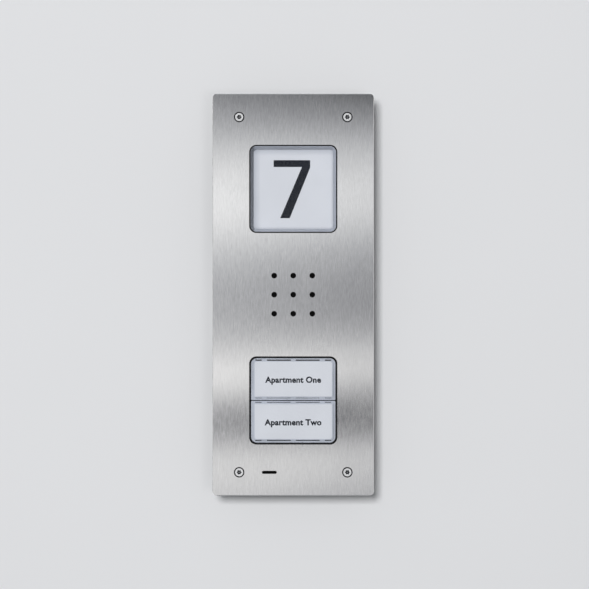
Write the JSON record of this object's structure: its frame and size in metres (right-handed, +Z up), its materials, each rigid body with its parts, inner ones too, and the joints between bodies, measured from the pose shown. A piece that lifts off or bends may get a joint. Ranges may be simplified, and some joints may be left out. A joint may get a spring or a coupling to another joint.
{
  "type": "door intercom panel",
  "caption": "Wall-mounted audio door station: tall brushed steel plate with a lit house number, sound holes, two call buttons with name labels and a microphone slot.",
  "frame": {"origin": "on the wall, at the centre of the four wall-screw holes in the housing's back", "axes": "+X to the right and +Z up as a visitor sees the panel, +Y into the wall, so the front faces -Y"},
  "size_m": [0.1, 0.023, 0.249],
  "materials": {
    "brushed_stainless": "brushed along the height, satin",
    "screw_steel": "turned, semi-bright",
    "black_plastic": "fine moulded texture",
    "housing_plastic": "fine moulded texture",
    "black_rubber": "matt",
    "foam": "closed-cell foam",
    "clear_plastic": "clear, polished",
    "white_plastic": "translucent white",
    "pale_plastic": "pale grey, semi-gloss",
    "label_film": "satin printed film",
    "number_film": "satin film, lit from behind",
    "print_black": "satin print",
    "brass": "turned",
    "plated_steel": "bright zinc",
    "spring_steel": "drawn wire",
    "board_green": "solder resist",
    "chip_black": "moulded",
    "diode_white": "clear lens",
    "capacitor_can": "printed sleeve",
    "choke": "ferrite with varnished copper winding",
    "terminal_green": "moulded",
    "magnet": "ferrite, dark grey",
    "basket": "pressed steel, dark",
    "cone_film": "thin film",
    "dust_cloth": "woven black",
    "lead_red": "insulation",
    "lead_blue": "insulation",
    "microphone_can": "bright",
    "trimmer_blue": "moulded",
    "plunger_red": "moulded"
  },
  "bodies": {
    "panel": {"front_plate": "brushed_stainless", "front_screws": "screw_steel", "screw_seals": "black_rubber", "plate_gasket": "foam", "rear_housing": "housing_plastic", "threaded_inserts": "brass", "wall_seal": "foam", "cable_grommet": "black_rubber", "inner_carrier": "black_plastic", "carrier_nuts": "plated_steel", "number_bezel": "pale_plastic", "number_cover": "clear_plastic", "house_number_digit": "print_black", "number_film": "number_film", "number_diffuser": "white_plastic", "upper_button_springs": "spring_steel", "lower_button_springs": "spring_steel", "button_guide_plate": "black_plastic", "upper_switch_body": "chip_black", "lower_switch_body": "chip_black", "speaker_mesh": "dust_cloth", "speaker_gasket": "foam", "speaker_basket": "basket", "speaker_magnet": "magnet", "speaker_screws": "plated_steel", "speaker_leads": "lead_red", "microphone_boot": "black_rubber", "microphone_capsule": "microphone_can", "microphone_felt": "dust_cloth", "microphone_leads": "lead_blue", "circuit_board": "board_green", "board_screws": "plated_steel", "light_diodes": "diode_white", "board_chips": "chip_black", "electrolytic_capacitors": "capacitor_can", "bus_choke": "choke", "terminal_block": "terminal_green", "terminal_screws": "plated_steel", "volume_control_base": "trimmer_blue"},
    "upper_button": {"upper_button_cover": "clear_plastic", "upper_name_label": "label_film", "upper_button_diffuser": "white_plastic", "upper_button_body": "black_plastic"},
    "lower_button": {"lower_button_cover": "clear_plastic", "lower_name_label": "label_film", "lower_button_diffuser": "white_plastic", "lower_button_body": "black_plastic"},
    "upper_plunger": {"upper_switch_plunger": "plunger_red"},
    "lower_plunger": {"lower_switch_plunger": "plunger_red"},
    "speaker_diaphragm": {"speaker_cone": "cone_film"},
    "volume_knob": {"volume_dial": "white_plastic"}
  },
  "joints": [
    {"name": "upper_button_press", "type": "slide", "parent": "panel", "child": "upper_button", "axis": [0, 1, 0], "range_m": [0, 0.001], "stiffness_N_per_m": 900, "springref_m": -0.0005, "deforming": ["upper_button_springs"]},
    {"name": "lower_button_press", "type": "slide", "parent": "panel", "child": "lower_button", "axis": [0, 1, 0], "range_m": [0, 0.001], "stiffness_N_per_m": 900, "springref_m": -0.0005, "deforming": ["lower_button_springs"]},
    {"name": "upper_switch_press", "type": "slide", "parent": "panel", "child": "upper_plunger", "axis": [0, 1, 0], "range_m": [0, 0.001]},
    {"name": "lower_switch_press", "type": "slide", "parent": "panel", "child": "lower_plunger", "axis": [0, 1, 0], "range_m": [0, 0.001]},
    {"name": "speaker_cone_travel", "type": "slide", "parent": "panel", "child": "speaker_diaphragm", "axis": [0, 1, 0], "range_m": [-0.0002, 0.0002], "stiffness_N_per_m": 800},
    {"name": "volume_dial_turn", "type": "hinge", "parent": "panel", "child": "volume_knob", "pos_m": [0.03, -0.0094, 0.03], "axis": [0, 1, 0], "range_deg": [-135, 135]}
  ],
  "couplings": [
    {"joint": "upper_switch_press", "follows": "upper_button_press", "ratio": 1},
    {"joint": "lower_switch_press", "follows": "lower_button_press", "ratio": 1}
  ]
}
